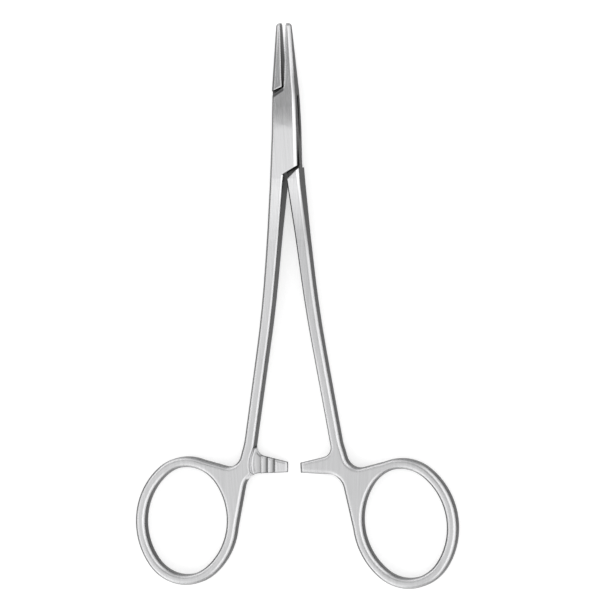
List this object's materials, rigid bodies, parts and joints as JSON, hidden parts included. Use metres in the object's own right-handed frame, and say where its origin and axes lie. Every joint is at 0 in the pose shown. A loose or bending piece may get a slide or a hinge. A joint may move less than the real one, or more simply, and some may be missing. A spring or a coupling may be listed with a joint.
{
  "type": "surgical needle holder",
  "caption": "Slender steel needle holder with short straight jaws, a box lock, a ratchet between the shanks and oval finger rings.",
  "frame": {"origin": "on the pivot's axis, at the flat back of the box lock that rests on the table", "axes": "+Y along the middle line between the arms towards the jaw tips, +Z out of the front of the tool, +X towards the ring of the arm that passes through the box"},
  "size_m": [0.0858, 0.1411, 0.005],
  "materials": {
    "satin_steel": "satin ground, edges lightly polished"
  },
  "bodies": {
    "box_half": {"box_arm": "satin_steel", "pivot_pin": "satin_steel"},
    "slot_half": {"slot_arm": "satin_steel"}
  },
  "joints": [
    {"name": "box_lock_pivot", "type": "hinge", "parent": "box_half", "child": "slot_half", "pos_m": [0, 0, 0], "axis": [0, 0, 1], "range_deg": [-3, 37]}
  ]
}
